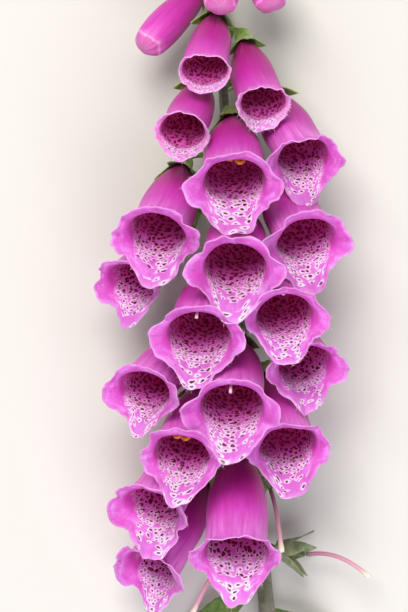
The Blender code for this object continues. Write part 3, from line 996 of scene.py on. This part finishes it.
def spotted_zone(tree, along, away):
    """The bell's floor, a band narrowing to the lip's tip, and where spots grow: there and in the throat."""
    edge = add(tree, "MapRange", {"Value": along, "From Min": 0.6, "From Max": 0.98, "To Min": 0.46,
                                  "To Max": 0.15})
    gap = add(tree, "Math", {0: edge, 1: away}, operation="SUBTRACT")
    floor = add(tree, "MapRange", {"Value": gap, "From Min": -0.03, "From Max": 0.06},
                interpolation_type="SMOOTHSTEP")
    throat = add(tree, "MapRange", {"Value": along, "From Min": 0.60, "From Max": 0.68, "To Min": 1.0,
                                    "To Max": 0.0}, interpolation_type="SMOOTHSTEP")
    return floor, add(tree, "Math", {0: floor, 1: throat}, operation="MAXIMUM")


def spot_layer(tree, place, smaller, apart, heart, ring):
    """One spot to a cell: its dark heart, its pale ring, the blush round it, and a chance of its own."""
    cells = add(tree, "TexVoronoi", {"Vector": place, "Scale": 1 / apart, "Randomness": 0.8},
                voronoi_dimensions="2D")
    chance = add(tree, "SeparateColor", {"Color": cells.outputs["Color"]})
    radius = add(tree, "MapRange", {"Value": chance.outputs["Red"], "To Min": heart * 0.6,
                                    "To Max": heart * 1.1})
    distance = add(tree, "Math", {0: cells, 1: apart}, operation="MULTIPLY")
    shrunk = add(tree, "Math", {0: radius, 1: smaller}, operation="MULTIPLY")
    inside = add(tree, "Math", {0: shrunk, 1: distance}, operation="SUBTRACT")
    dark = add(tree, "MapRange", {"Value": inside, "From Min": -0.14, "From Max": 0.14})
    pale = add(tree, "MapRange", {"Value": distance, "From Min": ring, "From Max": ring * 0.66})
    blush = add(tree, "MapRange", {"Value": distance, "From Min": 2.0, "From Max": 0.9, "To Max": 0.5})
    return dark, pale, blush, chance.outputs["Green"]


def spots(tree, place, along, zone):
    """The spots' dark hearts, pale rings and blush: crowded in the throat, fewer towards the lip's tip."""
    wobble = add(tree, "TexNoise", {"Vector": place, "Scale": 0.35, "Detail": 2.0})
    off = add(tree, "VectorMath", {0: wobble.outputs["Color"], 1: (0.5, 0.5, 0.5)}, operation="SUBTRACT")
    push = add(tree, "VectorMath", {0: off, "Scale": 2.4}, operation="SCALE")
    moved = add(tree, "VectorMath", {0: place, 1: push}, operation="ADD")
    smaller = add(tree, "MapRange", {"Value": along, "From Min": 0.72, "From Max": 0.95, "To Min": 1.0,
                                     "To Max": 0.84})
    missing = add(tree, "MapRange", {"Value": along, "From Min": 0.74, "From Max": 0.96, "To Max": 0.6})
    lipward = add(tree, "MapRange", {"Value": along, "From Min": 0.66, "From Max": 0.71},
                  interpolation_type="SMOOTHSTEP")
    dark, pale = spot_layer(tree, moved, smaller, *THROAT_SPOTS)[:2]
    *lip, chance = spot_layer(tree, moved, smaller, *LIP_SPOTS)
    keep = add(tree, "Math", {0: chance, 1: missing}, operation="GREATER_THAN")
    marks = []
    for in_throat, on_lip in zip((dark, pale, 0.0), lip):
        kept = add(tree, "Math", {0: on_lip, 1: keep}, operation="MULTIPLY")
        mark = add(tree, "Mix", {"Factor": lipward, FIRST: in_throat, SECOND: kept})
        marks.append(add(tree, "Math", {0: mark, 1: zone}, operation="MULTIPLY"))
    return marks


def petal_inside(name, lobe, edge):
    """Fresh foxglove petal, inner face, grown as thin tissue with domed cells.

    It gives the eye a satin face with a deep magenta throat and lilac lobes, wine-red spots in pale rings
    about 2 mm apart as on the plant, and faint veins. In the throat its colours are painted light and shade:
    the ground, rings and spot hearts are brightened there as painted light for the light that bounces round
    inside the bell and shines through its wall, and the rings there are magenta rather than white as painted
    shade. Real veins are finer and are drawn 1.2 mm apart so that they show.
    """
    material, tree, shader = begin(name)
    place, along, away = petal_places(tree)
    # The throat's ground, up to about 0.6 along, is brightened as painted light for the light that bounces
    # round inside the bell and shines through its thin wall.
    base = add(tree, "ValToRGB", {"Fac": along}, stops=[
        (0.0, "#E00C5C"), (0.38, "#DC1268"), (0.52, "#D02284"), (0.62, "#CC3CA8"), (0.74, lobe), (1.0, edge)])
    floor, zone = spotted_zone(tree, along, away)
    patches = add(tree, "TexNoise", {"Vector": place, "Scale": 1 / 7.0, "Detail": 3.0})
    deep = add(tree, "MapRange", {"Value": patches, "From Min": 0.42, "From Max": 0.66, "To Max": 0.55})
    worn = add(tree, "MapRange", {"Value": patches, "From Min": 0.50, "From Max": 0.30, "To Max": 0.6})
    outer = add(tree, "MapRange", {"Value": along, "From Min": 0.72, "From Max": 0.9})
    lilac = add(tree, "Math", {0: worn, 1: outer}, operation="MULTIPLY")
    pale_floor = add(tree, "Math", {0: floor, 1: 0.5}, operation="MULTIPLY")
    dark, pale, blush = spots(tree, place, along, zone)
    # Rings deep in the throat are painted shade, magenta instead of the white they are nearer the mouth, and
    # are brightened as painted light for the light bouncing round inside the bell.
    ring = add(tree, "ValToRGB", {"Fac": along}, stops=[
        (0.0, "#E82C8C"), (0.36, "#E43C9C"), (0.50, "#DC4CB0"), (0.58, "#E478CC"), (0.65, "#FAD0F4"),
        (1.0, "#FCE6FC")])
    # Spot hearts in the throat are lighter than on the lip: painted light for the light bouncing round inside
    # the bell.
    heart = add(tree, "ValToRGB", {"Fac": along}, stops=[
        (0.0, "#8C0430"), (0.50, "#780430"), (0.75, "#58062C"), (1.0, "#5C1036")])
    rim = add(tree, "MapRange", {"Value": along, "From Min": 0.95, "From Max": 0.995, "To Max": 0.3})
    vein = streaks(tree, place, 1.2, 14.0)
    faint = add(tree, "MapRange", {"Value": vein, "From Min": 0.5, "From Max": 0.72, "To Max": 0.45})
    colour = lay(tree, base, (deep, "#C034A4"), (lilac, "#E4A4EC"), (pale_floor, "#DC80E0"),
                 (blush, "#EEB6F0"), (pale, ring), (dark, heart), (rim, "#F0C4EE"), (faint, "#BC3CAE"))
    surface(tree, shader, colour, vein, 0.5, 0.25 * MM, 0.42, 0.05, 0.45, 1.4 * MM, 0.28)
    return material


def bud_petal():
    """Foxglove petals still folded shut, with a closer, glossier skin than open ones.

    They give the eye a satin magenta, dark at the base, with a pale line where the lobes fold over the end.
    """
    material, tree, shader = begin("closed_petal_satin")
    place, along, _ = petal_places(tree)
    wander = add(tree, "TexNoise", {"Vector": place, "Scale": 1 / 9.0, "Detail": 1.0})
    fold = add(tree, "Math", {0: wander, 1: 0.12, 2: along}, operation="MULTIPLY_ADD")
    end = add(tree, "Math", {0: fold, 1: 0.06}, operation="SUBTRACT")
    ramp = add(tree, "ValToRGB", {"Fac": end}, stops=[
        (0.0, "#86085A"), (0.28, "#AC1C88"), (0.6, "#CE3CB4"), (0.84, "#DC50C4"), (0.885, "#E470D0"),
        (0.90, "#F0ACE0"), (0.92, "#DC68BE"), (1.0, "#CC7CB4")])
    vein = streaks(tree, place, 2.0, 18.0)
    shade = add(tree, "MapRange", {"Value": vein, "From Min": 0.35, "From Max": 0.7, "To Max": 0.45})
    colour = lay(tree, ramp, (shade, "#A83088"))
    surface(tree, shader, colour, vein, 0.3, 0.2 * MM, 0.42, 0.12, 0.3, 2.0 * MM, 0.3)
    return material


def plant_skin(name, dark, light, mark, patch_mm, roughness=0.6):
    """A plant's skin in three tones, mottled over so many millimetres, with a sheen as fine down gives.

    Its cells are too fine to show, so its grain is drawn 0.5 mm wide.
    """
    material, tree, shader = begin(name)
    spot = add(tree, "TexCoord").outputs["Object"]
    mottle = add(tree, "TexNoise", {"Vector": spot, "Scale": 1 / (patch_mm * MM), "Detail": 4.0})
    ramp = add(tree, "ValToRGB", {"Fac": mottle}, stops=[(0.32, dark), (0.56, light), (0.78, mark)])
    grain = add(tree, "TexNoise", {"Vector": spot, "Scale": 1 / (0.5 * MM), "Detail": 2.0})
    surface(tree, shader, ramp, grain, 0.4, 0.1 * MM, roughness, 0.35, 0.15)
    return material


def style_skin():
    """A bare style, smooth and faintly glossy: grey-green at the pod, dull pink, then a cream stigma."""
    material, tree, shader = begin("style_smooth_pink")
    place, along, _ = petal_places(tree)
    grain = streaks(tree, place, 6.0, 9.0)
    push = add(tree, "Math", {0: grain, 1: 0.08, 2: along}, operation="MULTIPLY_ADD")
    ramp = add(tree, "ValToRGB", {"Fac": push}, stops=[
        (0.0, "#6E7A50"), (0.14, "#A87088"), (0.5, "#CC8CA6"), (0.86, "#DCA8B8"), (0.95, "#ECDCC8"),
        (1.0, "#F2EAD6")])
    surface(tree, shader, ramp, grain, 0.3, 0.1 * MM, 0.45, 0.1, 0.25)
    return material


def floor_material():
    """A plain matt paper sweep, pale grey."""
    material, tree, shader = begin("floor_matt_paper")
    spot = add(tree, "TexCoord").outputs["Object"]
    tone = add(tree, "TexNoise", {"Vector": spot, "Scale": 3.0, "Detail": 2.0})
    ramp = add(tree, "ValToRGB", {"Fac": tone}, stops=[(0.3, "#D6D5D0"), (0.7, "#DAD9D4")])
    link(tree, ramp, shader.inputs["Base Color"])
    shader.inputs["Roughness"].default_value = 0.85
    shader.inputs["Specular IOR Level"].default_value = 0.35
    return material


def make_materials():
    return {
        "petal_outside": petal_outside(),
        "petal_inside": petal_inside("petal_inner_face_spotted", "#D054C0", "#D274D2"),
        # Bells that have only just opened have paler lobes.
        "young_inside": petal_inside("young_petal_inner_face_spotted", "#E28CD0", "#F0BCE6"),
        "bud": bud_petal(),
        # Sepals: leaf tissue grown with short down, which looks soft and dull, fresh green and later greyer.
        "sepal": plant_skin("sepal_downy_green", "#648E30", "#98C456", "#B4C880", 3.0),
        "spent_sepal": plant_skin("spent_sepal_downy_grey_green", "#6C7A56", "#8C9A72", "#A8A884", 3.0),
        # Young buds: the same tissue before it opens, yellow-green.
        "green_bud": plant_skin("young_bud_downy_green", "#55752C", "#86A04C", "#A8B476", 2.5),
        # Stem: ribbed green tissue that its down turns grey and matt.
        "stem": plant_skin("stem_downy_grey_green", "#5E604A", "#808070", "#968C80", 4.0),
        # Stem leaves: wrinkled, dull and darker than the sepals.
        "leaf": plant_skin("leaf_wrinkled_green", "#3C5420", "#5E7A34", "#84925A", 5.0),
        # Seed pods: young fruit in close down, olive green.
        "pod": plant_skin("seed_pod_downy", "#4A5A34", "#74824E", "#94986C", 2.0),
        "style": style_skin(),
        # Filaments: bare waxy threads, nearly white, a little shinier than the skin round them.
        "filament": plant_skin("filament_pale_waxy", "#D8A8C0", "#EACCD8", "#F2E0E4", 4.0, 0.45),
        # Anthers: waxy pollen sacs, yellow-orange with dark red flecks a little under 1 mm apart.
        "anther": plant_skin("anther_waxy_orange", "#B03A1C", "#EC8A24", "#F4B04A", 0.9, 0.45),
        # Hairs and down: clear cells in a row, which catch the light and look white.
        "hair": plant_skin("hair_clear_white", "#E6CCE2", "#F2E2F0", "#FAF4FA", 5.0, 0.4),
        "down": plant_skin("down_grey_white", "#B8B8A4", "#CCCCB8", "#DADACC", 5.0, 0.5),
    }


# ---------------------------------------------------------------- floor, light and camera


def make_stage():
    deselect()
    bpy.ops.mesh.primitive_plane_add(size=4)
    floor = bpy.context.object
    floor.name = "floor"
    floor.data.materials.append(floor_material())


def area_light(name, place, aim, size, power, colour="#FFFFFF"):
    deselect()
    bpy.ops.object.light_add(type="AREA", location=place)
    lamp = bpy.context.object
    lamp.name = name
    lamp.data.size = size
    lamp.data.energy = power
    lamp.data.color = srgb(colour)[:3]
    lamp.rotation_mode = "QUATERNION"
    lamp.rotation_quaternion = (Vector(aim) - Vector(place)).to_track_quat("-Z", "Y")


def make_light():
    """A large soft light from the tip's side, a wide fill from the cut end and an even pale sky."""
    area_light("key", (-0.25, 0.58, 1.15), (0, 0, 0.03), 0.7, 17.0, "#FFFAF4")
    area_light("fill", (0.2, -0.85, 0.95), (0, 0, 0.03), 1.0, 11.0, "#FAFAFF")
    world = bpy.data.worlds.new("studio")
    bpy.context.scene.world = world
    world.use_nodes = True
    background = world.node_tree.nodes["Background"]
    background.inputs["Color"].default_value = srgb("#EEEEF0")
    background.inputs["Strength"].default_value = 0.28


# The camera looks straight down. It is centred a little left of the bells, a set way up from the lowest lip.
CAMERA_HEIGHT = 1.0
CAMERA_LENS = 164.6
LEFT_OF_BELLS = 6.05 * MM
ABOVE_LOWEST_LIP = 107.0 * MM


def make_camera():
    boxes = [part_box(f"corolla_{number:02d}") for number in range(1, OPEN_BELLS + 1)]
    left, right = min(low.x for low, _ in boxes), max(high.x for _, high in boxes)
    lowest = min(low.y for low, _ in boxes)
    camera = bpy.data.objects.new("camera", bpy.data.cameras.new("camera"))
    bpy.context.scene.collection.objects.link(camera)
    camera.location = ((left + right) / 2 - LEFT_OF_BELLS, lowest + ABOVE_LOWEST_LIP, CAMERA_HEIGHT)
    camera.data.lens = CAMERA_LENS
    camera.data.sensor_width = 36
    camera.data.clip_start = 0.01
    bpy.context.scene.camera = camera
    bpy.context.scene.view_settings.view_transform = "Standard"


def main():
    materials = make_materials()
    sepal = sepal_template()
    blooms, hairs = make_bells(materials)
    for number, bloom in enumerate(blooms, 1):
        draw = random.Random(600 + number)
        girth_at = girth_along(bloom.girth, bloom.length, TUBE_GIRTH)
        make_calyx(f"sepals_{number:02d}", "sepal", bloom, girth_at, 1.0, 1.2 * MM, draw, materials["sepal"],
                   sepal, f"calyx_{number:02d}")
        make_heart(number, bloom, materials, draw)
    make_buds(materials, sepal)
    make_green_buds(materials, sepal)
    make_tip(materials, sepal)
    make_spent(materials, sepal)
    make_stem(materials)
    make_leaves(materials)
    make_hairs("lip_hairs", hairs, materials["hair"], "petal")
    make_hairs("stem_down", stem_hairs(), materials["down"], "stem_green", 0.06 * MM)
    for template in [sepal, *TUBES.values()]:
        bpy.data.objects.remove(template)
    make_stage()
    make_light()
    make_camera()


main()
